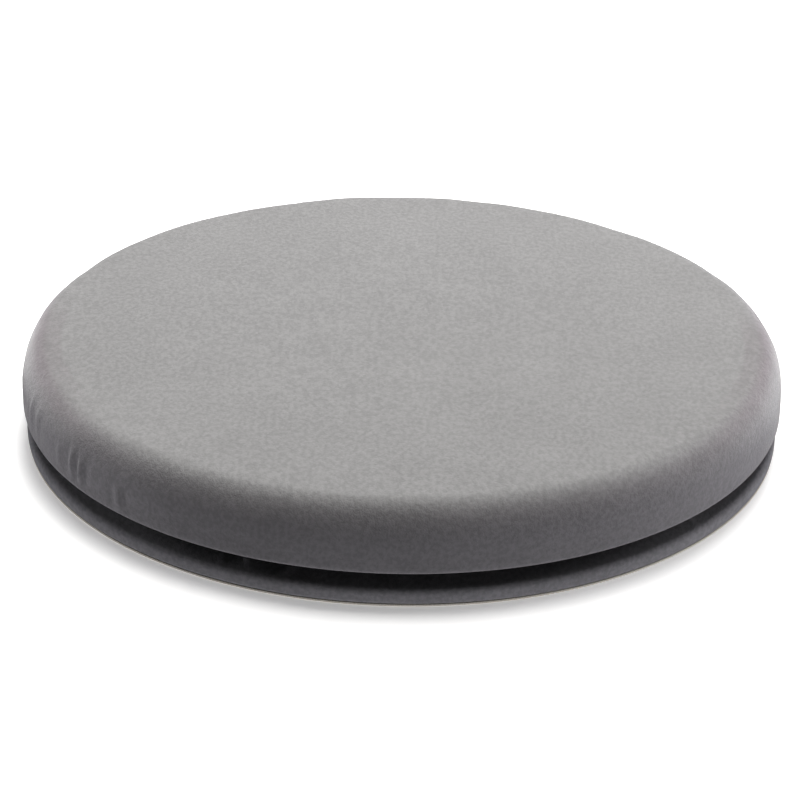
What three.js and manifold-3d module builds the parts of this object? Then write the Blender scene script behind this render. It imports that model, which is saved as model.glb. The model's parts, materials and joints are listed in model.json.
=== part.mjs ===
// Swivel seat cushion: a round padded seat that turns freely on a flat fabric-covered base.
// Two discs are held 9 mm apart by a ring bearing: an inner and an outer race with caged balls between them.
// Millimetres, +Z up. The origin is on the floor, under the centre of the base.
import * as THREE from "three";
import { mergeVertices } from "three/addons/utils/BufferGeometryUtils.js";
import Module from "manifold-3d";

const wasm = await Module();
wasm.setup();

// ---- Driving dimensions ----

// Overall
const SEAT_RADIUS = 190.5; // over the seat cover, a 15 inch cushion
const SEAT_TOP = 51; // overall height, 2 inches
const SEAT_BOTTOM = 16.4; // underside of the seat cover
const BASE_RADIUS = 189.2; // over the base cover
const FABRIC = 1; // thickness of both covers
const FIT_GAP = 0.3; // between a cover's wall and what fills it

// Seat edge
const RIM_ROUND = 22; // top edge of the seat cover
const LOWER_ROUND = 2.5; // bottom edge of the seat cover

// Hem of the seat cover, turned up and back over a flat elastic under the upper disc
const HEM_RADIUS = 161; // where the hem's fold begins
const HEM_OPENING = 2.2; // clear height inside the fold
const HEM_WIDTH = 7.5; // flat part under the elastic
const HEM_SLOPE = 2.5; // from the flat part up to the seam
const SEAM_WIDTH = 3; // stitched strip, where the two layers meet
const SEAM_STEP = 3; // from the seam up to the disc
const TURN_IN = 11; // width of the layer turned in above the elastic
const SLOPE_LEAN = 0.4; // how far a sloping layer's back lies across from its face
const ELASTIC_WIDTH = 6.4;
const ELASTIC_THICKNESS = 1.6;

// Base
const SHEET_THICKNESS = 1; // non-slip sheet
const SHEET_RADIUS = 188.8;
const BASE_TOP = 8; // top of the base cover
const BASE_TOP_ROUND = 3;
const BASE_LOWER_ROUND = 1.5;
const BASE_COVER_INNER = 153; // where the base cover ends on top of the lower disc
const TUCK_RADIUS = 168; // where it ends underneath
const TUCK_GAP = 0.1;

// Discs
const UPPER_DISC_THICKNESS = 4;
const DISC_CHAMFER = 2;

// Ring bearing
const TRACK_RADIUS = 130; // circle through the centres of the balls
const BALL_COUNT = 24;
const BALL_RADIUS = 2.5;
const GROOVE_RADIUS = 2.85;
const RACE_HALF_GAP = 1.3; // from the track circle to either race's face
const RACE_WIDTH = 4.8; // radial width of the grooved part of a race
const FLANGE_WIDTH = 12;
const FLANGE_THICKNESS = 3.5;
const RACE_HEIGHT = 9.9;
const CAGE_THICKNESS = 1.4;
const CAGE_HEIGHT = 8.8;
const POCKET_RADIUS = 3;

// Rivets
const RIVET_COUNT = 6;
const RIVET_SHANK = 2; // radius
const RIVET_HEAD = 3.8; // radius of the countersunk head
const RIVET_CONE = 1.8; // depth of the countersunk head
const SET_HEAD_RADIUS = 3.6;
const SET_HEAD_HEIGHT = 1;
const COUNTERBORE_DEPTH = 1.2;

// Facets
const COVER_SEGMENTS = 48;
const RIM_STEPS = 5;
const RACE_SEGMENTS = 48;
const RIVET_SEGMENTS = 8;
const POCKET_SEGMENTS = 8;

// Levels that follow from the above
const LOWER_DISC_TOP = BASE_TOP - FABRIC;
const UPPER_DISC_BOTTOM = SEAT_BOTTOM + FABRIC;
const UPPER_DISC_TOP = UPPER_DISC_BOTTOM + UPPER_DISC_THICKNESS;
const TRACK_HEIGHT = (LOWER_DISC_TOP + UPPER_DISC_BOTTOM) / 2;
const INNER_RIVET_RADIUS = TRACK_RADIUS - RACE_HALF_GAP - RACE_WIDTH - FLANGE_WIDTH / 2;
const OUTER_RIVET_RADIUS = TRACK_RADIUS + RACE_HALF_GAP + RACE_WIDTH + FLANGE_WIDTH / 2;

// ---- Colours and finishes ----

const material = (color, roughness, metalness) => new THREE.MeshStandardMaterial({ color, roughness, metalness });
const seatVelour = material(0x8b898a, 0.95, 0);
const baseVelour = material(0x777478, 0.95, 0);
const foam = material(0xe2d9bd, 0.9, 0);
const elastic = material(0xdedcd6, 0.8, 0);
const discPlastic = material(0x26262a, 0.5, 0);
const nonSlipRubber = material(0xd9cfb8, 0.85, 0);
const raceAluminium = material(0xb9bcc0, 0.35, 1);
const cageNylon = material(0xe9e6dc, 0.5, 0);
const ballSteel = material(0xc8cacc, 0.15, 1);
const rivetAluminium = material(0xa8abaf, 0.4, 1);

// ---- Helpers ----

// Points of an arc in a profile: centre, radius, and its first and last angle in degrees.
function arc(r, z, radius, from, to, steps) {
  return Array.from({ length: steps + 1 }, (_, i) => {
    const angle = THREE.MathUtils.degToRad(from + ((to - from) * i) / steps);
    return [r + radius * Math.cos(angle), z + radius * Math.sin(angle)];
  });
}

// A solid of revolution about Z from [radius, height] points that run anticlockwise round the section.
function revolve(profile, segments = COVER_SEGMENTS) {
  const points = profile.map(([r, z]) => new THREE.Vector2(r, z));
  return new THREE.LatheGeometry(points, segments).rotateX(Math.PI / 2);
}

// A section that doesn't touch the axis is closed by repeating its first point.
const closed = (profile) => [...profile, profile[0]];

function toSolid(geometry) {
  const bare = geometry.clone();
  bare.deleteAttribute("normal");
  bare.deleteAttribute("uv");
  const merged = mergeVertices(bare, 1e-3);
  const mesh = new wasm.Mesh({
    numProp: 3,
    vertProperties: merged.attributes.position.array,
    triVerts: new Uint32Array(merged.index.array),
  });
  return new wasm.Manifold(mesh);
}

function toGeometry(solid) {
  const mesh = solid.getMesh();
  return new THREE.BufferGeometry()
    .setAttribute("position", new THREE.BufferAttribute(mesh.vertProperties, 3))
    .setIndex(new THREE.BufferAttribute(mesh.triVerts, 1));
}

const cut = (geometry, cutters) =>
  toGeometry(cutters.reduce((solid, cutter) => solid.subtract(toSolid(cutter)), toSolid(geometry)));

// Calls place(angle, number) for each of count places round the axis.
function around(count, place) {
  return Array.from({ length: count }, (_, i) => place((2 * Math.PI * i) / count, i + 1));
}

const numbered = (name, number) => `${name}_${String(number).padStart(2, "0")}`;

function named(name, geometry, finish) {
  const mesh = new THREE.Mesh(geometry, finish);
  mesh.name = name;
  return mesh;
}

// ---- Rivets, and the stepped holes they sit in ----

// A set rivet with its countersunk head at height 0 and its shank running down.
function rivetGeometry(length) {
  const setHead = -length + COUNTERBORE_DEPTH - 0.1;
  return revolve(
    [
      [0, setHead - SET_HEAD_HEIGHT],
      [SET_HEAD_RADIUS, setHead - SET_HEAD_HEIGHT],
      [SET_HEAD_RADIUS, setHead],
      [RIVET_SHANK, setHead],
      [RIVET_SHANK, -RIVET_CONE],
      [RIVET_HEAD, 0],
      [0, 0],
    ],
    RIVET_SEGMENTS,
  );
}

// The hole for that rivet: it is FIT_GAP wider all round and runs past both faces.
function rivetHoleGeometry(length) {
  return revolve(
    [
      [0, -length - 1],
      [SET_HEAD_RADIUS + FIT_GAP, -length - 1],
      [SET_HEAD_RADIUS + FIT_GAP, -length + COUNTERBORE_DEPTH],
      [RIVET_SHANK + FIT_GAP, -length + COUNTERBORE_DEPTH],
      [RIVET_SHANK + FIT_GAP, -RIVET_CONE],
      [RIVET_HEAD + FIT_GAP, 0],
      [RIVET_HEAD + FIT_GAP, 1],
      [0, 1],
    ],
    RIVET_SEGMENTS,
  );
}

// One row of rivets: the inner race's heads face up, and the outer race's heads face down.
function rivetRow(radius, headHeight, length, facesUp) {
  const turned = (geometry) => (facesUp ? geometry : geometry.rotateX(Math.PI));
  const placed = (make) =>
    around(RIVET_COUNT, (angle) =>
      turned(make(length)).translate(radius * Math.cos(angle), radius * Math.sin(angle), headHeight),
    );
  return { rivets: placed(rivetGeometry), holes: placed(rivetHoleGeometry) };
}

const innerFlangeTop = LOWER_DISC_TOP + FLANGE_THICKNESS;
const outerFlangeBottom = UPPER_DISC_BOTTOM - FLANGE_THICKNESS;
const lowerRow = rivetRow(INNER_RIVET_RADIUS, innerFlangeTop, innerFlangeTop - SHEET_THICKNESS, true);
const upperRow = rivetRow(OUTER_RIVET_RADIUS, outerFlangeBottom, UPPER_DISC_TOP - outerFlangeBottom, false);

// ---- Base ----

function nonSlipSheet() {
  return revolve([
    [0, 0],
    [SHEET_RADIUS, 0],
    [SHEET_RADIUS, SHEET_THICKNESS],
    [0, SHEET_THICKNESS],
  ]);
}

// The lower disc, with a rebate under its edge for the base cover's tuck.
function lowerDisc() {
  const wall = BASE_RADIUS - FABRIC - FIT_GAP;
  const rebate = SHEET_THICKNESS + FABRIC + TUCK_GAP;
  const blank = revolve([
    [0, SHEET_THICKNESS],
    [TUCK_RADIUS - FIT_GAP, SHEET_THICKNESS],
    [TUCK_RADIUS - FIT_GAP, rebate],
    [wall - 0.8, rebate],
    [wall, rebate + 0.8],
    [wall, LOWER_DISC_TOP - 1.8],
    [wall - 0.5, LOWER_DISC_TOP - 0.6],
    [wall - 1.9, LOWER_DISC_TOP],
    [0, LOWER_DISC_TOP],
  ]);
  return cut(blank, lowerRow.holes);
}

// Fabric over the lower disc's margin, round its edge and tucked under it.
function baseCover() {
  const top = BASE_RADIUS - BASE_TOP_ROUND;
  const low = BASE_RADIUS - BASE_LOWER_ROUND;
  const topCentre = BASE_TOP - BASE_TOP_ROUND;
  const lowCentre = SHEET_THICKNESS + BASE_LOWER_ROUND;
  return revolve(
    closed([
      [TUCK_RADIUS, SHEET_THICKNESS],
      ...arc(low, lowCentre, BASE_LOWER_ROUND, -90, 0, 2),
      ...arc(top, topCentre, BASE_TOP_ROUND, 0, 90, 3),
      [BASE_COVER_INNER, BASE_TOP],
      [BASE_COVER_INNER, BASE_TOP - FABRIC],
      ...arc(top, topCentre, BASE_TOP_ROUND - FABRIC, 90, 0, 3),
      ...arc(low, lowCentre, BASE_LOWER_ROUND - FABRIC, 0, -90, 1),
      [TUCK_RADIUS, SHEET_THICKNESS + FABRIC],
    ]),
  );
}

// ---- Ring bearing ----

const grooveHalfAngle = THREE.MathUtils.radToDeg(Math.acos(RACE_HALF_GAP / GROOVE_RADIUS));

// Riveted to the lower disc. Its groove faces outwards.
function innerRace() {
  const face = TRACK_RADIUS - RACE_HALF_GAP;
  const bottom = LOWER_DISC_TOP;
  const blank = revolve(
    closed([
      [face, bottom],
      ...arc(TRACK_RADIUS, TRACK_HEIGHT, GROOVE_RADIUS, 180 + grooveHalfAngle, 180 - grooveHalfAngle, 4),
      [face, bottom + RACE_HEIGHT],
      [face - RACE_WIDTH, bottom + RACE_HEIGHT],
      [face - RACE_WIDTH, bottom + FLANGE_THICKNESS],
      [face - RACE_WIDTH - FLANGE_WIDTH, bottom + FLANGE_THICKNESS],
      [face - RACE_WIDTH - FLANGE_WIDTH, bottom],
    ]),
    RACE_SEGMENTS,
  );
  return cut(blank, lowerRow.holes);
}

// Riveted to the upper disc. Its groove faces inwards.
function outerRace() {
  const face = TRACK_RADIUS + RACE_HALF_GAP;
  const top = UPPER_DISC_BOTTOM;
  const blank = revolve(
    closed([
      [face, top],
      ...arc(TRACK_RADIUS, TRACK_HEIGHT, GROOVE_RADIUS, grooveHalfAngle, -grooveHalfAngle, 4),
      [face, top - RACE_HEIGHT],
      [face + RACE_WIDTH, top - RACE_HEIGHT],
      [face + RACE_WIDTH, top - FLANGE_THICKNESS],
      [face + RACE_WIDTH + FLANGE_WIDTH, top - FLANGE_THICKNESS],
      [face + RACE_WIDTH + FLANGE_WIDTH, top],
    ]),
    RACE_SEGMENTS,
  );
  return cut(blank, upperRow.holes);
}

// A nylon band between the races, with a round pocket for each ball.
function ballCage() {
  const inner = TRACK_RADIUS - CAGE_THICKNESS / 2;
  const outer = TRACK_RADIUS + CAGE_THICKNESS / 2;
  const bottom = TRACK_HEIGHT - CAGE_HEIGHT / 2;
  const top = TRACK_HEIGHT + CAGE_HEIGHT / 2;
  const band = revolve(
    closed([
      [inner, bottom],
      [outer, bottom],
      [outer, top],
      [inner, top],
    ]),
    RACE_SEGMENTS,
  );
  const pockets = around(BALL_COUNT, (angle) =>
    new THREE.CylinderGeometry(POCKET_RADIUS, POCKET_RADIUS, 4 * CAGE_THICKNESS, POCKET_SEGMENTS)
      .rotateY(Math.PI / POCKET_SEGMENTS)
      .rotateZ(Math.PI / 2)
      .translate(TRACK_RADIUS, 0, TRACK_HEIGHT)
      .rotateZ(angle),
  );
  return cut(band, pockets);
}

const ball = () => new THREE.IcosahedronGeometry(BALL_RADIUS, 1);

// ---- Seat ----

function upperDisc() {
  const wall = SEAT_RADIUS - FABRIC - FIT_GAP;
  const blank = revolve([
    [0, UPPER_DISC_BOTTOM],
    [wall - DISC_CHAMFER, UPPER_DISC_BOTTOM],
    [wall, UPPER_DISC_BOTTOM + DISC_CHAMFER],
    [wall, UPPER_DISC_TOP],
    [0, UPPER_DISC_TOP],
  ]);
  return cut(blank, upperRow.holes);
}

function foamPad() {
  const centre = SEAT_RADIUS - RIM_ROUND;
  return revolve([
    [0, UPPER_DISC_TOP],
    [SEAT_RADIUS - FABRIC - FIT_GAP, UPPER_DISC_TOP],
    ...arc(centre, SEAT_TOP - RIM_ROUND, RIM_ROUND - FABRIC - FIT_GAP, 0, 90, RIM_STEPS),
    [0, SEAT_TOP - FABRIC - FIT_GAP],
  ]);
}

// One stretched skin: over the pad, round the disc's edge and in to a hem turned up round the elastic.
function seatCover() {
  const rim = SEAT_RADIUS - RIM_ROUND;
  const rimCentre = SEAT_TOP - RIM_ROUND;
  const low = SEAT_RADIUS - LOWER_ROUND;
  const lowCentre = SEAT_BOTTOM + LOWER_ROUND;
  const foldInner = HEM_OPENING / 2;
  const foldOuter = foldInner + FABRIC;
  const foldCentre = SEAT_BOTTOM - foldInner;
  const flatEnd = HEM_RADIUS + HEM_WIDTH;
  const seamInner = flatEnd + HEM_SLOPE;
  const seamOuter = seamInner + SEAM_WIDTH;
  const stepEnd = seamOuter + SEAM_STEP;
  const seamFace = SEAT_BOTTOM - FIT_GAP - FABRIC;
  return revolve([
    [0, SEAT_TOP - FABRIC],
    ...arc(rim, rimCentre, RIM_ROUND - FABRIC, 90, 0, RIM_STEPS),
    ...arc(low, lowCentre, LOWER_ROUND - FABRIC, 0, -90, 2),
    [stepEnd + SLOPE_LEAN, SEAT_BOTTOM + FABRIC],
    [seamOuter + SLOPE_LEAN, seamFace + FABRIC],
    [seamInner - SLOPE_LEAN, seamFace + FABRIC],
    [flatEnd - SLOPE_LEAN, foldCentre - foldInner],
    ...arc(HEM_RADIUS, foldCentre, foldInner, 270, 90, 2),
    [HEM_RADIUS + TURN_IN, foldCentre + foldInner],
    [HEM_RADIUS + TURN_IN, foldCentre + foldOuter],
    ...arc(HEM_RADIUS, foldCentre, foldOuter, 90, 270, 3),
    [flatEnd, foldCentre - foldOuter],
    [seamInner, seamFace],
    [seamOuter, seamFace],
    [stepEnd, SEAT_BOTTOM],
    ...arc(low, lowCentre, LOWER_ROUND, -90, 0, 3),
    ...arc(rim, rimCentre, RIM_ROUND, 0, 90, RIM_STEPS),
    [0, SEAT_TOP],
  ]);
}

// The elastic that draws the hem in, lying flat inside the fold.
function hemElastic() {
  const inner = HEM_RADIUS + FIT_GAP;
  const bottom = SEAT_BOTTOM - HEM_OPENING / 2 - ELASTIC_THICKNESS / 2;
  return revolve(
    closed([
      [inner, bottom],
      [inner + ELASTIC_WIDTH, bottom],
      [inner + ELASTIC_WIDTH, bottom + ELASTIC_THICKNESS],
      [inner, bottom + ELASTIC_THICKNESS],
    ]),
  );
}

// ---- Assembly ----

const swivelCushion = new THREE.Group();

const base = new THREE.Group();
base.add(
  named("non_slip_sheet", nonSlipSheet(), nonSlipRubber),
  named("lower_disc", lowerDisc(), discPlastic),
  named("base_cover", baseCover(), baseVelour),
  named("inner_race", innerRace(), raceAluminium),
  ...lowerRow.rivets.map((rivet, i) => named(numbered("lower_rivet", i + 1), rivet, rivetAluminium)),
);

const cage = new THREE.Group();
cage.add(
  named("ball_cage", ballCage(), cageNylon),
  ...around(BALL_COUNT, (angle, number) => {
    const mesh = named(numbered("ball", number), ball(), ballSteel);
    mesh.position.set(TRACK_RADIUS * Math.cos(angle), TRACK_RADIUS * Math.sin(angle), TRACK_HEIGHT);
    return mesh;
  }),
);

const seat = new THREE.Group();
seat.add(
  named("outer_race", outerRace(), raceAluminium),
  ...upperRow.rivets.map((rivet, i) => named(numbered("upper_rivet", i + 1), rivet, rivetAluminium)),
  named("upper_disc", upperDisc(), discPlastic),
  named("foam_pad", foamPad(), foam),
  named("seat_cover", seatCover(), seatVelour),
  named("hem_elastic", hemElastic(), elastic),
);

swivelCushion.add(base, cage, seat);

export default swivelCushion;
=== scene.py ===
import json
import math

import bmesh
import bpy
import numpy as np
from mathutils import Matrix, Vector, noise


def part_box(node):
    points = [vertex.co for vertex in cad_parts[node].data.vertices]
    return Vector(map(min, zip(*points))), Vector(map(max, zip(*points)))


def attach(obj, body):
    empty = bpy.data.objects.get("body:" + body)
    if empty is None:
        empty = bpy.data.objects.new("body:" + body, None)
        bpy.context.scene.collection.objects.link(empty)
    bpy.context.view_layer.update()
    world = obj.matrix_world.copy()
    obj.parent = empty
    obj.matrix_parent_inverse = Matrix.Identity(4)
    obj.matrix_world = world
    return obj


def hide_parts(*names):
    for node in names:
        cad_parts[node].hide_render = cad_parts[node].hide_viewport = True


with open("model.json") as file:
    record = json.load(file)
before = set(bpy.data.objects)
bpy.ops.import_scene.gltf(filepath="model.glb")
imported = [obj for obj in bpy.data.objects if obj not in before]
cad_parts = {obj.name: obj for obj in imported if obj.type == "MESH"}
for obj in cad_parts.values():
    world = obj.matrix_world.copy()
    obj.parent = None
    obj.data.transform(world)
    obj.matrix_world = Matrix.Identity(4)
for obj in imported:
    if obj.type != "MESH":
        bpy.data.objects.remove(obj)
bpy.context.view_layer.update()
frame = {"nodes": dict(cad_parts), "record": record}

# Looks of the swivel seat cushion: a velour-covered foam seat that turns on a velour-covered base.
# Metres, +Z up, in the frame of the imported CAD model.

# ---- Sizes from the frame ----

FABRIC = 0.001  # thickness of both covers
SEAT_LOW, SEAT_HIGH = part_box("seat_cover")
SEAT_RADIUS = SEAT_HIGH.x
CROWN = 0.0018  # how far the top swells at its middle
SEAT_TOP = SEAT_HIGH.z - CROWN  # at the rim
SEAT_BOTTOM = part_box("upper_disc")[0].z - FABRIC
DISC_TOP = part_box("upper_disc")[1].z
RIM_ACROSS = 0.0135  # the rim is rounder downwards than across
RIM_DOWN = 0.020
LOWER_ROUND = 0.0025

HEM_BOTTOM = SEAT_LOW.z
ELASTIC_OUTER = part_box("hem_elastic")[1].x
ELASTIC_WIDTH = 0.0064
HEM_SLACK = 0.0003  # the hem's fold starts this far in from the elastic
HEM_RADIUS = ELASTIC_OUTER - ELASTIC_WIDTH - HEM_SLACK

BASE_LOW, BASE_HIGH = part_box("base_cover")
BASE_RADIUS = BASE_HIGH.x
BASE_TOP = BASE_HIGH.z
BASE_INNER = 0.153
BASE_TUCK = 0.168
BASE_TOP_ROUND = 0.003
BASE_LOWER_ROUND = 0.0015

# ---- Camera ----

CAMERA_DISTANCE = 6 * SEAT_RADIUS
CAMERA_ELEVATION = math.radians(25.9)
CAMERA_ROLL = math.radians(0.96)
CAMERA_LENS = 102.0
CAMERA_SHIFT = (-0.0075, -0.0150)


def make_camera():
    target = Vector((0, 0, SEAT_BOTTOM))
    back = Vector((0, -math.cos(CAMERA_ELEVATION), math.sin(CAMERA_ELEVATION)))
    camera = bpy.data.objects.new("camera", bpy.data.cameras.new("camera"))
    camera.data.lens = CAMERA_LENS
    camera.data.shift_x, camera.data.shift_y = CAMERA_SHIFT
    camera.location = target + CAMERA_DISTANCE * back
    aim = (-back).to_track_quat("-Z", "Y").to_matrix()
    camera.rotation_euler = (aim @ Matrix.Rotation(CAMERA_ROLL, 3, "Z")).to_euler()
    bpy.context.scene.collection.objects.link(camera)
    bpy.context.scene.camera = camera


make_camera()

# ---- Meshes from profiles ----

CELLS = 76  # quads along each side of the seat's top grid
COLUMNS = 4 * CELLS  # quads round the seat


def arc(r, z, radius, first, last, steps, depth=None):
    """Points of an arc in a profile, without its first one.

    Angles are in degrees. depth is its other radius, if it isn't round.
    """
    depth = depth or radius
    angles = [math.radians(first + (last - first) * i / steps) for i in range(1, steps + 1)]
    return [(r + radius * math.cos(a), z + depth * math.sin(a)) for a in angles]


def line(start, end, steps):
    """Points of a straight stretch in a profile, without its first one."""
    shares = [i / steps for i in range(1, steps + 1)]
    return [tuple(s + (e - s) * share for s, e in zip(start, end)) for share in shares]


def disc_grid(radius, height):
    """A square grid bent until its edge is a circle: its points, its quads, and the edge's points."""
    side = [math.sqrt(2) * math.sin(math.pi / 4 * (2 * i / CELLS - 1)) for i in range(CELLS + 1)]
    points = [
        (radius * a * math.sqrt(1 - b * b / 2), radius * b * math.sqrt(1 - a * a / 2), height)
        for a in side
        for b in side
    ]

    def at(i, j):
        return i * (CELLS + 1) + j

    quads = [
        (at(i, j), at(i + 1, j), at(i + 1, j + 1), at(i, j + 1))
        for i in range(CELLS)
        for j in range(CELLS)
    ]
    edge = [at(CELLS, j) for j in range(CELLS)]
    edge += [at(i, CELLS) for i in range(CELLS, 0, -1)]
    edge += [at(0, j) for j in range(CELLS, 0, -1)]
    edge += [at(i, 0) for i in range(CELLS)]
    return points, quads, edge


def add_rings(points, quads, edge, profile):
    """Adds a row of quads for each profile point, going on from the edge. It changes points and quads."""
    for r, z in profile:
        start = len(points)
        for k in range(COLUMNS):
            angle = 2 * math.pi * k / COLUMNS - math.pi / 4
            points.append((r * math.cos(angle), r * math.sin(angle), z))
        ring = list(range(start, start + COLUMNS))
        if edge:
            for k in range(COLUMNS):
                n = (k + 1) % COLUMNS
                quads.append((edge[k], ring[k], ring[n], edge[n]))
        edge = ring
    return edge


def make_object(name, points, faces):
    mesh = bpy.data.meshes.new(name)
    mesh.from_pydata([tuple(p) for p in points], [], faces)
    mesh.update()
    obj = bpy.data.objects.new(name, mesh)
    bpy.context.scene.collection.objects.link(obj)
    return obj


def read_points(mesh):
    flat = np.empty(3 * len(mesh.vertices))
    mesh.vertices.foreach_get("co", flat)
    return flat.reshape(-1, 3)


def write_points(mesh, points):
    mesh.vertices.foreach_set("co", np.asarray(points, float).ravel())
    mesh.update()


def read_normals(mesh):
    flat = np.empty(3 * len(mesh.vertices))
    mesh.vertices.foreach_get("normal", flat)
    return flat.reshape(-1, 3)


def smooth(mesh):
    mesh.polygons.foreach_set("use_smooth", [True] * len(mesh.polygons))


def face_outwards(mesh):
    """Drops the points that no face uses and turns every face outwards."""
    work = bmesh.new()
    work.from_mesh(mesh)
    bmesh.ops.delete(work, geom=[v for v in work.verts if not v.link_faces], context="VERTS")
    bmesh.ops.recalc_face_normals(work, faces=work.faces)
    work.to_mesh(mesh)
    work.free()


# ---- Cloth simulation ----

FRAMES = 20
PRESSURE = 4


def inflate(obj, pinned, most):
    """Swells the object as cloth under pressure, held where pinned is true.

    The result is scaled so that no point moves further than most.
    """
    before = read_points(obj.data)
    group = obj.vertex_groups.new(name="pinned")
    group.add([int(i) for i in np.flatnonzero(pinned)], 1.0, "REPLACE")
    cloth = obj.modifiers.new("cloth", "CLOTH")
    cloth.settings.quality = 6
    cloth.settings.mass = 0.02
    cloth.settings.tension_stiffness = 15
    cloth.settings.compression_stiffness = 15
    cloth.settings.shear_stiffness = 5
    cloth.settings.bending_stiffness = 0.5
    cloth.settings.use_pressure = True
    cloth.settings.uniform_pressure_force = PRESSURE
    cloth.settings.vertex_group_mass = group.name
    cloth.settings.effector_weights.gravity = 0
    cloth.point_cache.frame_end = FRAMES
    for step in range(1, FRAMES + 1):
        bpy.context.scene.frame_set(step)
    graph = bpy.context.evaluated_depsgraph_get()
    after = read_points(obj.evaluated_get(graph).data)
    obj.modifiers.remove(cloth)
    obj.vertex_groups.remove(group)
    bpy.context.scene.frame_set(1)
    moved = after - before
    furthest = np.linalg.norm(moved, axis=1).max()
    write_points(obj.data, before + moved * min(1.0, most / max(furthest, 1e-9)))


def subdivide(obj):
    """One level of smooth subdivision, applied."""
    modifier = obj.modifiers.new("subdivision", "SUBSURF")
    modifier.levels = 1
    graph = bpy.context.evaluated_depsgraph_get()
    mesh = bpy.data.meshes.new_from_object(obj.evaluated_get(graph), depsgraph=graph)
    obj.modifiers.remove(modifier)
    old, obj.data = obj.data, mesh
    bpy.data.meshes.remove(old)
    mesh.name = obj.name


def edge_loops(mesh):
    """The open edges' points, one list for each loop, each in order of angle round the axis."""
    work = bmesh.new()
    work.from_mesh(mesh)
    left = {e for e in work.edges if e.is_boundary}
    loops = []
    while left:
        edge = left.pop()
        found = {edge.verts[0], edge.verts[1]}
        front = list(found)
        while front:
            for e in front.pop().link_edges:
                if e in left:
                    left.discard(e)
                    new = set(e.verts) - found
                    found |= new
                    front += new
        loops.append(sorted(found, key=lambda v: math.atan2(v.co.y, v.co.x)))
    loops = [[v.index for v in loop] for loop in loops]
    work.free()
    return loops


def line_skin(outer, inner, name):
    """One closed skin from a fine outer face and a coarse inner face, joined round each open edge.

    The fine loops have twice as many points as the coarse ones.
    """
    fine, coarse = read_points(outer.data), read_points(inner.data)
    faces = [tuple(p.vertices) for p in outer.data.polygons]
    shift = len(fine)
    faces += [tuple(shift + v for v in reversed(p.vertices)) for p in inner.data.polygons]
    outer_loops, inner_loops = edge_loops(outer.data), edge_loops(inner.data)
    outer_loops.sort(key=lambda loop: fine[loop].mean(axis=0)[2])
    inner_loops.sort(key=lambda loop: coarse[loop].mean(axis=0)[2])
    for far, near in zip(outer_loops, inner_loops):
        first = int(np.argmin([np.linalg.norm(fine[v][:2] - coarse[near[0]][:2]) for v in far]))
        far = far[first:] + far[:first]
        count = len(near)
        for k in range(count):
            a, b = near[k], near[(k + 1) % count]
            f0, f1, f2 = far[2 * k], far[2 * k + 1], far[(2 * k + 2) % len(far)]
            faces.append((f0, f1, f2, shift + b, shift + a))
    skin = make_object(name, np.vstack([fine, coarse]), faces)
    face_outwards(skin.data)
    smooth(skin.data)
    for piece in (outer, inner):
        mesh = piece.data
        bpy.data.objects.remove(piece)
        bpy.data.meshes.remove(mesh)
    return skin


# ---- How the fabric lies ----


def polar(points):
    """(distance from the axis, angle from the front towards the left, outward directions) of each point."""
    r = np.hypot(points[:, 0], points[:, 1])
    angle = np.arctan2(-points[:, 0], -points[:, 1])
    outward = points * (1, 1, 0) / np.maximum(r, 1e-9)[:, None]
    return r, angle, outward


def fade(x, low, high):
    """0 below low, 1 above high, smooth between."""
    t = np.clip((x - low) / (high - low), 0, 1)
    return t * t * (3 - 2 * t)


def unevenness(points, scale, seed):
    """Smooth noise from about -1 to 1, with bumps about 1/scale metres across."""
    offset = Vector((seed, 2.3 * seed, 5.1 * seed))
    return np.array([noise.noise(Vector(p) * scale + offset) for p in points])


def ripples(angle, count, seed):
    """Folds round the axis, about count of them, uneven in width and depth, from 0 to 1."""
    ring = np.column_stack([np.cos(angle), np.sin(angle), np.zeros_like(angle)])
    drift = unevenness(ring, 3.0, seed)
    depth = 0.55 + 0.45 * unevenness(ring, 9.0, seed + 1)
    return depth * (0.5 + 0.5 * np.cos(count * angle + 5 * drift))


# Puckers in the seat's side where the hem's pull gathers the cover.
# Each is (degrees from the front towards the left, height of its middle above the edge,
# half length, half width, depth).
PUCKERS = [
    (69.0, 0.016, 0.013, 0.0022, 0.00045),
    (65.5, 0.014, 0.012, 0.0022, 0.0004),
    (56.8, 0.011, 0.008, 0.0022, 0.0006),
    (52.9, 0.0125, 0.01, 0.0021, 0.0013),
    (50.7, 0.0115, 0.01, 0.0021, 0.0015),
    (41.9, 0.009, 0.007, 0.0023, 0.0012),
    (-118.0, 0.009, 0.007, 0.0022, 0.00095),
    (-121.5, 0.008, 0.006, 0.0021, 0.00114),
    (-160.0, 0.010, 0.008, 0.0023, 0.00085),
    (133.0, 0.009, 0.007, 0.0022, 0.00104),
    (136.4, 0.010, 0.006, 0.0021, 0.00076),
]
PUCKER_LEAN = 0.12  # how far a pucker leans, across for each metre up
PUCKER_DIP = 0.45  # depth of the shallow dip on each side of it, as a share of its own


def pucker(points):
    """How far each point of the seat's side stands out from puckers."""
    r, angle, _ = polar(points)
    height = points[:, 2] - SEAT_BOTTOM
    rise = np.zeros(len(points))
    for degrees, middle, half_length, half_width, depth in PUCKERS:
        away = np.mod(angle - math.radians(degrees) + math.pi, 2 * math.pi) - math.pi
        across = (away * SEAT_RADIUS + PUCKER_LEAN * (height - middle)) / half_width
        along = np.clip(np.abs(height - middle) / half_length, 0, 1)
        ridge = np.exp(-across * across) - PUCKER_DIP * np.exp(-((np.abs(across) - 2) ** 2))
        rise += depth * ridge * (1 - along * along) ** 2
    return rise * (r > SEAT_RADIUS - RIM_ACROSS)


GATHERS = 88  # folds round the hem
GATHER_DEPTH = 0.0009
SIDE_BROAD = 0.00045  # how far the side is uneven, in broad and in fine bumps
SIDE_FINE = 0.00018
TOP_BROAD = 0.0003
TOP_FINE = 0.00012


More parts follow.
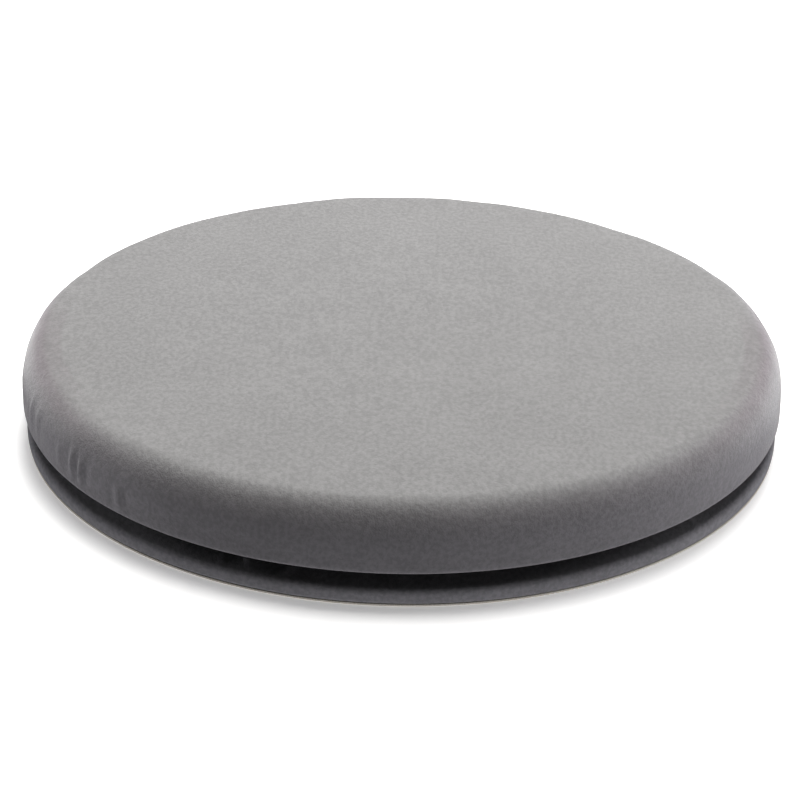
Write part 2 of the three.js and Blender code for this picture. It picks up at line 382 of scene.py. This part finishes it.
def dress_seat(points):
    """The seat cover's outer face with its unevenness, its puckers and the gathers under its edge."""
    r, angle, outward = polar(points)
    up = np.array([0, 0, 1.0])
    height = points[:, 2] - SEAT_BOTTOM
    side = fade(height, 0.001, 0.006) * fade(r, SEAT_RADIUS - 0.03, SEAT_RADIUS - 0.01)
    top = fade(points[:, 2], SEAT_TOP - 0.012, SEAT_TOP - 0.004)
    broad = unevenness(points, 14, 3.0)
    fine = unevenness(points, 45, 8.0)
    moved = points + outward * (side * (SIDE_BROAD * broad + SIDE_FINE * fine) + pucker(points))[:, None]
    moved += up * (top * (TOP_BROAD * broad + TOP_FINE * fine))[:, None]
    under = fade(-height, -0.0006, 0.0002) * fade(-r, -SEAT_RADIUS + 0.006, -SEAT_RADIUS + 0.02)
    above_fold = points[:, 2] < SEAT_BOTTOM + 0.0002
    drop = under * above_fold * GATHER_DEPTH * ripples(angle, GATHERS, 12.0)
    moved -= up * drop[:, None]
    return moved


# Short creases in the base cover.
# Each is (degrees, radius of the middle, lean, half length, half width, height).
CREASES = [
    (23.0, 0.179, 0.6, 0.010, 0.0014, 0.0018),
    (26.0, 0.179, 0.4, 0.009, 0.0013, 0.0012),
    (16.0, 0.179, -0.3, 0.007, 0.0014, 0.0006),
    (61.0, 0.181, 0.5, 0.008, 0.0014, 0.0008),
    (-48.0, 0.180, -0.6, 0.008, 0.0014, 0.0006),
    (-140.0, 0.181, 0.5, 0.008, 0.0014, 0.0008),
    (118.0, 0.180, -0.4, 0.008, 0.0014, 0.0008),
]
BASE_FOLDS = 64  # shallow folds round the base cover
BASE_FOLD_DEPTH = 0.00022
BASE_FINE = 0.00012


def dress_base(points):
    """The base cover's outer face with its slight unevenness and a few short creases."""
    r, angle, outward = polar(points)
    up = np.array([0, 0, 1.0])
    top = fade(points[:, 2], BASE_TOP - 0.002, BASE_TOP - 0.0002)
    rim = fade(r, BASE_RADIUS - 0.012, BASE_RADIUS - 0.002)
    folds = BASE_FOLD_DEPTH * ripples(angle, BASE_FOLDS, 21.0) * (1 - rim)
    swell = top * (folds + BASE_FINE * unevenness(points, 60, 5.0))
    for degrees, middle, lean, half_length, half_width, depth in CREASES:
        away = np.mod(angle - math.radians(degrees) + math.pi, 2 * math.pi) - math.pi
        across = (away * BASE_RADIUS + lean * (r - middle)) / half_width
        along = np.clip(np.abs(r - middle) / half_length, 0, 1)
        swell = swell + top * depth * np.exp(-across * across) * (1 - along * along) ** 2
    return points + up * swell[:, None]


# ---- Painted shade on the pile ----

# Painted shade over the seat's rim, tinted: darkest where the light falls off on the bend, stronger and
# higher at the left and right ends.
RIM_SHADE_AT = 48  # how far round the rim the painted shade is darkest, in degrees from the top
RIM_SHADE_SPREAD = 22
RIM_SHADE_FRONT = 0.2  # how dark the painted shade is at the front and at the back, where 1 is the most
RIM_SHADE_ENDS = 0.8  # and at the left and right ends, where it lies nearer the top
RIM_SHADE_AT_ENDS = 22


def mark(obj, name, values):
    """Stores a number from 0 to 1 for each point, for the material to read."""
    layer = obj.data.attributes.new(name, "FLOAT", "POINT")
    layer.data.foreach_set("value", values)


def seat_rim_shade(points):
    """Painted shade over the rim's bend, where the light falls off: how strong it is at each point."""
    r, angle, _ = polar(points)
    across = (r - (SEAT_RADIUS - RIM_ACROSS)) / RIM_ACROSS
    down = (points[:, 2] - (SEAT_TOP - RIM_DOWN)) / RIM_DOWN
    turned = np.degrees(np.arctan2(np.maximum(across, 0), np.maximum(down, 1e-6)))
    round_side = np.degrees(np.abs(angle))
    ends = fade(round_side, 35, 78) * (1 - fade(round_side, 86, 112))
    at = RIM_SHADE_AT + (RIM_SHADE_AT_ENDS - RIM_SHADE_AT) * ends
    most = RIM_SHADE_FRONT + (RIM_SHADE_ENDS - RIM_SHADE_FRONT) * ends
    on_rim = (r > SEAT_RADIUS - 1.5 * RIM_ACROSS) * (down > 0)
    return most * on_rim * np.exp(-(((turned - at) / RIM_SHADE_SPREAD) ** 2))


UNDER_SHADE_FADE = 0.0004  # how far above the edge the painted shade under the seat begins


def seat_under_shade(points):
    """Painted shade where the cover is turned under the seat's edge, darkening the gap below it."""
    return fade(-points[:, 2], -SEAT_BOTTOM - UNDER_SHADE_FADE, -SEAT_BOTTOM)


# ---- Seat cover and foam ----

INNER_SHARE = 0.97  # the inner face lies this share of the fabric's thickness inside
PINNED_HEIGHT = 0.0005  # the cloth is held below this height above the seat's edge
RIM_STEPS = 10  # rows of quads down the rim
WALL_STEPS = 4  # and down the wall below it
HEM_FLAT = 0.0075  # width of the hem's flat part under the elastic
SEAM_INNER = 0.010  # where the stitched strip starts and ends, outwards from the hem's fold
SEAM_OUTER = 0.013
SEAM_DROP = 0.0013  # how far the stitched strip lies below the seat's underside
STEP_OUTER = 0.016  # where the cover comes off the disc towards the seam
TURN_IN = 0.011  # width of the layer turned in above the elastic
FOLD_GAP = 0.0001  # the turned-in layer stays this far clear of the disc
FOAM_INSET = FABRIC + 0.0004  # from the cover's outer face, so that the foam is clear of the fabric
FOAM_GRID_SHARE = 0.97  # the grid on the foam's underside ends this share of the way out


def offset_object(obj, name, distance):
    """A copy of the object's mesh, moved inwards along its normals."""
    copy = bpy.data.objects.new(name, obj.data.copy())
    bpy.context.scene.collection.objects.link(copy)
    points = read_points(copy.data) - distance * read_normals(copy.data)
    write_points(copy.data, points)
    return copy


def seat_profile():
    """The seat cover's outer face from the top grid's edge, down the side and in to the hem's raw edge."""
    fold_top = SEAT_BOTTOM + FABRIC - FOLD_GAP
    fold_middle = (fold_top + HEM_BOTTOM) / 2
    fold_round = (fold_top - HEM_BOTTOM) / 2
    profile = arc(SEAT_RADIUS - RIM_ACROSS, SEAT_TOP - RIM_DOWN, RIM_ACROSS, 90, 0, RIM_STEPS, RIM_DOWN)
    profile += line(profile[-1], (SEAT_RADIUS, SEAT_BOTTOM + LOWER_ROUND), WALL_STEPS)
    profile += arc(SEAT_RADIUS - LOWER_ROUND, SEAT_BOTTOM + LOWER_ROUND, LOWER_ROUND, 0, -90, 4)
    profile += line(profile[-1], (HEM_RADIUS + STEP_OUTER, SEAT_BOTTOM), 3)
    profile += line(profile[-1], (HEM_RADIUS + SEAM_OUTER, SEAT_BOTTOM - SEAM_DROP), 1)
    profile += line(profile[-1], (HEM_RADIUS + SEAM_INNER, SEAT_BOTTOM - SEAM_DROP), 1)
    profile += line(profile[-1], (HEM_RADIUS + HEM_FLAT, HEM_BOTTOM), 1)
    profile += line(profile[-1], (HEM_RADIUS, HEM_BOTTOM), 2)
    profile += arc(HEM_RADIUS, fold_middle, fold_round, -90, -270, 4)
    profile += line(profile[-1], (HEM_RADIUS + TURN_IN, fold_top), 3)
    return profile


def make_seat():
    """The seat cover and its foam block."""
    points, quads, edge = disc_grid(SEAT_RADIUS - RIM_ACROSS, SEAT_TOP)
    add_rings(points, quads, edge, seat_profile())
    outer = make_object("seat_outer", points, quads)
    smooth(outer.data)
    inflate(outer, read_points(outer.data)[:, 2] < SEAT_BOTTOM + PINNED_HEIGHT, CROWN)
    inner = offset_object(outer, "seat_inner", FABRIC * INNER_SHARE)
    foam = make_foam(outer)
    subdivide(outer)
    write_points(outer.data, dress_seat(read_points(outer.data)))
    return line_skin(outer, inner, "velour_seat_cover"), foam


def make_foam(cover):
    """The foam block: the cover's shape above the upper disc, just inside it, with a flat underside."""
    count = (CELLS + 1) ** 2 + (RIM_STEPS + WALL_STEPS - 1) * COLUMNS
    points = (read_points(cover.data) - FOAM_INSET * read_normals(cover.data))[:count]
    faces = [tuple(p.vertices) for p in cover.data.polygons if max(p.vertices) < count]
    foot = points[-COLUMNS:].copy()
    foot[:, 2] = DISC_TOP
    points = [tuple(p) for p in np.vstack([points, foot])]
    edge = list(range(count - COLUMNS, count))
    ring = list(range(count, count + COLUMNS))
    for k in range(COLUMNS):
        n = (k + 1) % COLUMNS
        faces.append((edge[k], ring[k], ring[n], edge[n]))
    foot_radius = foot[0][0] * math.sqrt(2)  # the first point of a ring lies at -45 degrees
    bottom_points, bottom_quads, bottom_edge = disc_grid(FOAM_GRID_SHARE * foot_radius, DISC_TOP)
    start = len(points)
    points += bottom_points
    faces += [tuple(start + v for v in reversed(q)) for q in bottom_quads]
    for k in range(COLUMNS):
        n = (k + 1) % COLUMNS
        faces.append((ring[k], start + bottom_edge[k], start + bottom_edge[n], ring[n]))
    foam = make_object("foam_block", points, faces)
    smooth(foam.data)
    return foam


# ---- Base cover ----


def base_profile():
    profile = [(BASE_INNER, BASE_TOP)]
    profile += line(profile[-1], (BASE_RADIUS - BASE_TOP_ROUND, BASE_TOP), 10)
    profile += arc(BASE_RADIUS - BASE_TOP_ROUND, BASE_TOP - BASE_TOP_ROUND, BASE_TOP_ROUND, 90, 0, 5)
    lower = BASE_LOW.z + BASE_LOWER_ROUND
    profile += line(profile[-1], (BASE_RADIUS, lower), 1)
    profile += arc(BASE_RADIUS - BASE_LOWER_ROUND, lower, BASE_LOWER_ROUND, 0, -90, 3)
    profile += line(profile[-1], (BASE_TUCK, BASE_LOW.z), 5)
    return profile


# The base cover is cut as a flat ring: its width is the way from the inner edge round the lip to the tuck.
BASE_RING_WIDTH = BASE_RADIUS - BASE_INNER + BASE_TOP - BASE_LOW.z + BASE_RADIUS - BASE_TUCK
BASE_RING_WIDTH -= (BASE_TOP_ROUND + BASE_LOWER_ROUND) * (2 - math.pi / 2)


def make_base_cover():
    points, quads = [], []
    add_rings(points, quads, None, base_profile())
    outer = make_object("base_outer", points, quads)
    smooth(outer.data)
    inner = offset_object(outer, "base_inner", FABRIC * INNER_SHARE)
    subdivide(outer)
    write_points(outer.data, dress_base(read_points(outer.data)))
    return line_skin(outer, inner, "velour_base_cover")


# ---- Non-slip mat ----

MAT_LOW, MAT_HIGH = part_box("non_slip_sheet")
DIMPLE_DEPTH = 0.00035
MAT_ROUND = 0.0002
MAT_SHARP = math.radians(40)  # edges that turn more than this are shaded sharp


def make_mat():
    """The thin sheet under the base, with rows of dimples pressed up into its underside."""
    radius = MAT_HIGH.x - MAT_ROUND
    points, quads, edge = disc_grid(radius, MAT_HIGH.z)
    profile = arc(radius, MAT_HIGH.z - MAT_ROUND, MAT_ROUND, 90, 0, 2)
    profile += line(profile[-1], (MAT_HIGH.x, MAT_LOW.z + MAT_ROUND), 1)
    profile += arc(radius, MAT_LOW.z + MAT_ROUND, MAT_ROUND, 0, -90, 2)
    ring = add_rings(points, quads, edge, profile)
    start = len(points)
    low_points, low_quads, low_edge = disc_grid(radius, MAT_LOW.z)
    for row in range(1, CELLS, 2):
        for column in range(1, CELLS, 2):
            i = row * (CELLS + 1) + column
            x, y, z = low_points[i]
            low_points[i] = (x, y, z + DIMPLE_DEPTH)
    match = dict(zip((start + v for v in low_edge), ring))
    points += low_points
    quads += [tuple(match.get(start + v, start + v) for v in reversed(q)) for q in low_quads]
    mat = make_object("non_slip_mat", points, quads)
    face_outwards(mat.data)
    smooth(mat.data)
    mat.data.set_sharp_from_angle(angle=MAT_SHARP)
    return mat


# ---- Stitching ----

STITCH_LENGTH = 0.0026
STITCH_GAP = 0.0008
STITCH_ROUND = 0.00032
STITCH_RINGS = [(-1.0, 0.35), (-0.72, 0.9), (0.0, 1.0), (0.72, 0.9), (1.0, 0.35)]  # (place along, width)
STITCH_SIDES = 6
BASE_SEAM = 0.003  # from the base cover's inner edge to its stitches


def make_stitches(name, radius, height, facing):
    """A round of thread stitches on a level face at that height, facing up (1) or down (-1)."""
    count = round(2 * math.pi * radius / (STITCH_LENGTH + STITCH_GAP))
    points, faces = [], []
    for number in range(count):
        turn = 2 * math.pi * number / count
        along = Vector((-math.sin(turn), math.cos(turn), 0))
        across = Vector((math.cos(turn), math.sin(turn), 0))
        up = Vector((0, 0, facing))
        start = len(points)
        for share, width in STITCH_RINGS:
            sunk = up * STITCH_ROUND * (0.35 - 0.75 * share * share)
            middle = across * radius + Vector((0, 0, height)) + along * share * STITCH_LENGTH / 2 + sunk
            for k in range(STITCH_SIDES):
                angle = 2 * math.pi * k / STITCH_SIDES
                rim = across * math.cos(angle) + up * math.sin(angle)
                points.append(middle + rim * STITCH_ROUND * width)
        for ring in range(len(STITCH_RINGS) - 1):
            for k in range(STITCH_SIDES):
                a = start + ring * STITCH_SIDES + k
                b = start + ring * STITCH_SIDES + (k + 1) % STITCH_SIDES
                faces.append((a, b, b + STITCH_SIDES, a + STITCH_SIDES))
        last = start + (len(STITCH_RINGS) - 1) * STITCH_SIDES
        faces.append(tuple(reversed(range(start, start + STITCH_SIDES))))
        faces.append(tuple(range(last, last + STITCH_SIDES)))
    stitches = make_object(name, points, faces)
    face_outwards(stitches.data)
    smooth(stitches.data)
    return stitches


# ---- Materials ----


class Shade:
    """A material being made: its nodes, and its Principled shader."""

    def __init__(self, name, roughness=0.6, metallic=0.0):
        self.material = bpy.data.materials.new(name)
        self.material.use_nodes = True
        self.tree = self.material.node_tree
        self.shader = self.tree.nodes["Principled BSDF"]
        self.shader.inputs["Roughness"].default_value = roughness
        self.shader.inputs["Metallic"].default_value = metallic
        self.place = self.node("ShaderNodeTexCoord").outputs["Object"]

    def node(self, kind, **settings):
        made = self.tree.nodes.new(kind)
        for name, value in settings.items():
            setattr(made, name, value)
        return made

    def feed(self, socket, value):
        """Links a socket, or sets its value."""
        if isinstance(value, bpy.types.NodeSocket):
            self.tree.links.new(value, socket)
        else:
            socket.default_value = value

    def stretched(self, scale):
        """The object's coordinates, scaled along each axis."""
        made = self.node("ShaderNodeVectorMath", operation="MULTIPLY")
        self.feed(made.inputs[0], self.place)
        made.inputs[1].default_value = scale
        return made.outputs[0]

    def noise(self, scale, detail=2.0, roughness=0.5, place=None):
        made = self.node("ShaderNodeTexNoise")
        self.feed(made.inputs["Vector"], place or self.place)
        made.inputs["Scale"].default_value = scale
        made.inputs["Detail"].default_value = detail
        made.inputs["Roughness"].default_value = roughness
        return made.outputs["Fac"]

    def cells(self, scale, feature="F1", place=None):
        made = self.node("ShaderNodeTexVoronoi", feature=feature)
        self.feed(made.inputs["Vector"], place or self.place)
        made.inputs["Scale"].default_value = scale
        return made.outputs["Distance"]

    def ramp(self, value, low, high, to_low=0.0, to_high=1.0):
        made = self.node("ShaderNodeMapRange", interpolation_type="SMOOTHSTEP")
        self.feed(made.inputs["Value"], value)
        for name, number in zip(("From Min", "From Max", "To Min", "To Max"), (low, high, to_low, to_high)):
            made.inputs[name].default_value = number
        return made.outputs["Result"]

    def math(self, operation, *values):
        made = self.node("ShaderNodeMath", operation=operation)
        for socket, value in zip(made.inputs, values):
            self.feed(socket, value)
        return made.outputs[0]

    def mix(self, factor, first, second, blend="MIX"):
        made = self.node("ShaderNodeMix", data_type="RGBA", blend_type=blend)
        colours = [s for s in made.inputs if s.type == "RGBA"]
        self.feed(made.inputs[0], factor)
        self.feed(colours[0], first)
        self.feed(colours[1], second)
        return [s for s in made.outputs if s.type == "RGBA"][0]

    def attribute(self, name):
        return self.node("ShaderNodeAttribute", attribute_name=name).outputs["Fac"]

    def bump(self, height, distance, strength=1.0, under=None):
        made = self.node("ShaderNodeBump")
        made.inputs["Strength"].default_value = strength
        made.inputs["Distance"].default_value = distance
        self.feed(made.inputs["Height"], height)
        if under is not None:
            self.feed(made.inputs["Normal"], under)
        return made.outputs["Normal"]

    def finish(self, colour=None, normal=None, roughness=None):
        for name, value in (("Base Color", colour), ("Normal", normal), ("Roughness", roughness)):
            if value is not None:
                self.feed(self.shader.inputs[name], value)
        return self.material


def grey(level, warmth=0.0):
    """A grey of that linear level, warmer or, below 0, cooler."""
    return (level * (1 + warmth), level, level * (1 - warmth), 1.0)


PILE_DARK = 0.885  # the pile's darkest and lightest spots, as shares of its level
PILE_LIGHT = 1.115
UNDER_SHADE_LEVEL = 0.35  # how much of the colour is left under the painted shade where the cover is turned under


def velour(name, level, warmth, sheen, rim_shade_colour):
    """Short brushed pile, with tufts and clumps, cloudy patches where the nap lies another way, and painted
    shade over the rim's bend and where the cover turns under.
    """
    s = Shade(name, roughness=0.95)
    s.shader.inputs["Sheen Weight"].default_value = sheen
    s.shader.inputs["Sheen Roughness"].default_value = 0.45
    s.shader.inputs["Specular IOR Level"].default_value = 0.0
    combed = s.stretched((1, 0.6, 1))  # the pile is a little longer from front to back
    tufts = s.noise(1400, detail=3, roughness=0.65, place=combed)
    clumps = s.noise(520, detail=1, roughness=0.5, place=combed)
    nap = s.noise(28, detail=3, roughness=0.55)
    pile = s.math("ADD", s.math("MULTIPLY", tufts, 0.35), s.math("MULTIPLY", clumps, 0.65))
    dark, light = grey(level * PILE_DARK, warmth), grey(level * PILE_LIGHT, warmth)
    body = s.mix(s.ramp(pile, 0.34, 0.66), dark, light)
    body = s.mix(s.ramp(nap, 0.3, 0.7), body, grey(1.06), "MULTIPLY")
    # Painted shade over the rim's bend, in a tinted colour.
    body = s.mix(s.attribute("painted_rim_shade"), body, rim_shade_colour, "MULTIPLY")
    # Painted shade where the cover is turned under the seat's edge.
    body = s.mix(s.attribute("under"), body, grey(UNDER_SHADE_LEVEL), "MULTIPLY")
    normal = s.bump(clumps, 0.0004, 0.5)
    normal = s.bump(tufts, 0.0004, 0.6, normal)
    return s.finish(body, normal)


def foam_material():
    s = Shade("cream_foam", roughness=0.95)
    s.shader.inputs["Subsurface Weight"].default_value = 0.1
    pores = s.cells(900)
    colour = s.mix(s.ramp(pores, 0.1, 0.6), (0.62, 0.52, 0.33, 1), (0.86, 0.78, 0.58, 1))
    colour = s.mix(s.ramp(s.noise(30), 0.35, 0.65), colour, (0.96, 0.94, 0.88, 1), "MULTIPLY")
    return s.finish(colour, s.bump(pores, 0.0008, 0.8))


def moulded_plastic():
    s = Shade("black_moulding", roughness=0.5)
    grain = s.cells(1400)
    haze = s.noise(60, detail=3)
    colour = s.mix(haze, (0.012, 0.012, 0.014, 1), (0.028, 0.028, 0.031, 1))
    rough = s.ramp(haze, 0.3, 0.7, 0.42, 0.6)
    return s.finish(colour, s.bump(grain, 0.0002, 0.6), rough)


def turned_metal(name, colour, ring_scale):
    """Metal with fine turning marks that run round the axis."""
    s = Shade(name, roughness=0.35, metallic=1.0)
    split = s.node("ShaderNodeSeparateXYZ")
    s.feed(split.inputs[0], s.place)
    flat = s.node("ShaderNodeVectorMath", operation="LENGTH")
    level = s.node("ShaderNodeVectorMath", operation="MULTIPLY")
    s.feed(level.inputs[0], s.place)
    level.inputs[1].default_value = (1, 1, 0)
    s.feed(flat.inputs[0], level.outputs[0])
    join = s.node("ShaderNodeCombineXYZ")
    s.feed(join.inputs[0], flat.outputs["Value"])
    s.feed(join.inputs[1], split.outputs[2])
    marks = s.noise(ring_scale, detail=2, roughness=0.7, place=join.outputs[0])
    stain = s.noise(90, detail=3)
    tone = s.mix(s.ramp(stain, 0.3, 0.7), tuple(0.85 * c for c in colour) + (1,), colour + (1,))
    rough = s.ramp(marks, 0.3, 0.7, 0.26, 0.46)
    return s.finish(tone, s.bump(marks, 0.0001, 0.5), rough)


def nylon():
    s = Shade("natural_nylon", roughness=0.45)
    s.shader.inputs["Subsurface Weight"].default_value = 0.15
    haze = s.noise(140, detail=3)
    colour = s.mix(s.ramp(haze, 0.3, 0.7), (0.66, 0.63, 0.55, 1), (0.8, 0.78, 0.71, 1))
    return s.finish(colour, s.bump(s.noise(900), 0.0001, 0.4), s.ramp(haze, 0.3, 0.7, 0.38, 0.52))


def bearing_steel():
    s = Shade("bearing_steel", roughness=0.12, metallic=1.0)
    film = s.noise(400, detail=3)
    colour = s.mix(s.ramp(film, 0.35, 0.65), (0.5, 0.48, 0.44, 1), (0.66, 0.67, 0.69, 1))
    return s.finish(colour, None, s.ramp(film, 0.3, 0.7, 0.08, 0.2))


def rivet_metal():
    s = Shade("rivet_aluminium", roughness=0.4, metallic=1.0)
    marks = s.noise(700, detail=3)
    colour = s.mix(s.ramp(marks, 0.3, 0.7), (0.42, 0.43, 0.45, 1), (0.62, 0.63, 0.66, 1))
    return s.finish(colour, s.bump(marks, 0.0001, 0.5), s.ramp(marks, 0.3, 0.7, 0.32, 0.5))


def non_slip_rubber():
    s = Shade("non_slip_rubber", roughness=0.7)
    speckle = s.noise(1500, detail=2)
    haze = s.noise(45, detail=3)
    colour = s.mix(s.ramp(speckle, 0.3, 0.7), (0.66, 0.64, 0.54, 1), (0.8, 0.78, 0.67, 1))
    colour = s.mix(s.ramp(haze, 0.3, 0.7), colour, (0.94, 0.93, 0.9, 1), "MULTIPLY")
    return s.finish(colour, s.bump(speckle, 0.0002, 0.5), s.ramp(haze, 0.3, 0.7, 0.6, 0.8))


def ribbed_elastic():
    s = Shade("ribbed_elastic", roughness=0.8)
    ribs = s.noise(1200, detail=1, place=s.stretched((1, 1, 0.2)))
    colour = s.mix(s.ramp(ribs, 0.35, 0.65), (0.6, 0.59, 0.55, 1), (0.8, 0.79, 0.76, 1))
    return s.finish(colour, s.bump(ribs, 0.0003, 0.7))


def thread():
    s = Shade("grey_thread", roughness=0.7)
    twist = s.noise(2600, detail=2, place=s.stretched((1, 1, 0.4)))
    colour = s.mix(s.ramp(twist, 0.35, 0.65), grey(0.12, 0.01), grey(0.24, 0.01))
    return s.finish(colour, s.bump(twist, 0.0001, 0.6))


def dress(obj, material):
    obj.data.materials.clear()
    obj.data.materials.append(material)


# ---- Make it ----

seat_cover, foam = make_seat()
base_cover = make_base_cover()
mat = make_mat()
seam_middle = HEM_RADIUS + (SEAM_INNER + SEAM_OUTER) / 2
hem_stitches = make_stitches("hem_stitching", seam_middle, SEAT_BOTTOM - SEAM_DROP, -1)
base_stitches = make_stitches("base_stitching", BASE_INNER + BASE_SEAM, BASE_TOP, 1)

# Painted shade: over the rim's bend, and where the cover is turned under the seat's edge.
mark(seat_cover, "painted_rim_shade", seat_rim_shade(read_points(seat_cover.data)))
mark(seat_cover, "under", seat_under_shade(read_points(seat_cover.data)))

# The seat velour's last colour is the tint of the painted shade over the rim.
dress(seat_cover, velour("seat_velour", 0.182, 0.004, 0.5, (0.7, 0.6, 0.65, 1)))
dress(base_cover, velour("base_velour", 0.24, -0.01, 0.05, (1, 1, 1, 1)))
dress(foam, foam_material())

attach(seat_cover, "seat")
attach(foam, "seat")
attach(base_cover, "base")
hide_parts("seat_cover")
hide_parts("foam_pad")
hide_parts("base_cover")
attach(mat, "base")
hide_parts("non_slip_sheet")
dress(mat, non_slip_rubber())
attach(hem_stitches, "seat")
dress(hem_stitches, thread())
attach(base_stitches, "base")
dress(base_stitches, thread())

FINISHES = {
    "disc_plastic": moulded_plastic(),
    "race_aluminium": turned_metal("turned_aluminium", (0.72, 0.73, 0.75), 2500),
    "cage_nylon": nylon(),
    "ball_steel": bearing_steel(),
    "rivet_aluminium": rivet_metal(),
    "elastic": ribbed_elastic(),
}
CAD_SHARP = math.radians(32)


def dress_cad():
    """Gives each CAD node that stays its finish, and smooth shading across its facets."""
    for part in frame["record"]["subparts"]:
        finish = FINISHES.get(part["material_slot"])
        if finish is None:
            continue
        node = frame["nodes"][part["node"]]
        dress(node, finish)
        smooth(node.data)
        node.data.set_sharp_from_angle(angle=CAD_SHARP)


dress_cad()

# ---- Studio ----

SWEEP_FLAT = 2.6  # radius of the sweep's flat part
SWEEP_BEND = 0.9  # radius of the bend up into its wall
SWEEP_WALL = 2.5  # height of the wall above the bend
NEAR_GLOW = 0.26  # the sweep is lit from below a little near the cushion, and evenly white far off
FAR_GLOW = 1.0
FLOOR_DROP = 0.0002  # keeps the floor just under the mat
WARM = (1.0, 0.99, 0.975)
COOL = (0.96, 0.925, 1.0)


def make_floor():
    """A pale studio sweep: a flat round floor that bends up into a wall all round."""
    s = Shade("pale_floor", roughness=0.9)
    s.shader.inputs["Specular IOR Level"].default_value = 0.1
    colour = s.mix(s.ramp(s.noise(3, detail=2), 0.3, 0.7), grey(0.93), grey(0.95))
    away = s.node("ShaderNodeVectorMath", operation="LENGTH")
    s.feed(away.inputs[0], s.place)
    s.feed(s.shader.inputs["Emission Strength"], s.ramp(away.outputs["Value"], 0.5, 1.2, NEAR_GLOW, FAR_GLOW))
    s.shader.inputs["Emission Color"].default_value = (1, 1, 1, 1)
    profile = [(SWEEP_FLAT, 0)]
    profile += arc(SWEEP_FLAT, SWEEP_BEND, SWEEP_BEND, -90, 0, 10)
    profile += line(profile[-1], (SWEEP_FLAT + SWEEP_BEND, SWEEP_BEND + SWEEP_WALL), 1)
    points, quads = [], []
    first = add_rings(points, quads, None, profile[:1])
    add_rings(points, quads, first, profile[1:])
    quads.append(tuple(first))
    floor = make_object("floor", points, quads)
    smooth(floor.data)
    floor.data.polygons[-1].use_smooth = False
    dress(floor, s.finish(colour))
    floor.location.z = -FLOOR_DROP
    floor.visible_diffuse = False
    floor.visible_glossy = False
    floor.visible_shadow = False


def make_light(name, place, target, size, power, colour, mirrored=True):
    """An area lamp. The metal in the bearing shows it as a highlight if it is mirrored."""
    data = bpy.data.lights.new(name, "AREA")
    data.shape = "RECTANGLE"
    data.size, data.size_y = size
    data.energy = power
    data.color = colour
    light = bpy.data.objects.new(name, data)
    light.location = place
    light.rotation_euler = (Vector(target) - Vector(place)).to_track_quat("-Z", "Y").to_euler()
    light.visible_glossy = mirrored
    bpy.context.scene.collection.objects.link(light)


def make_table(name, place, size, power):
    """An area lamp just under the floor that shines up, as light comes off a bright floor."""
    make_light(name, place, (place[0], place[1], 1), size, power, COOL, mirrored=False)


def make_world(level):
    world = bpy.data.worlds.new("studio")
    bpy.context.scene.world = world
    world.use_nodes = True
    background = world.node_tree.nodes["Background"]
    background.inputs["Color"].default_value = (1, 1, 1, 1)
    background.inputs["Strength"].default_value = level


make_floor()
make_light("key", (0.12, 0.85, 1.8), (0, 0, 0.05), (1.3, 1.8), 85, WARM)
make_light("overhead", (0.25, -0.15, 1.9), (0, 0, 0.05), (0.9, 0.7), 7, WARM)
make_light("right", (2.7, 0.98, 0.85), (0, 0, 0.03), (1.2, 0.5), 18, COOL)
make_light("left", (-2.7, 0.98, 0.85), (0, 0, 0.03), (1.2, 0.5), 16, COOL)
make_light("front_right", (1.1, -0.7, 0.04), (0, 0, 0.03), (0.5, 0.06), 2.4, COOL, mirrored=False)
make_table("table", (0, 0, -0.01), (3.0, 3.0), 18.5)
make_table("table_right", (0.75, 0, -0.008), (0.9, 1.5), 11)
make_table("table_left", (-0.75, 0, -0.008), (0.9, 1.5), 6.5)
make_world(0.01)

settings = bpy.context.scene.view_settings
settings.view_transform = "Standard"
settings.look = "None"
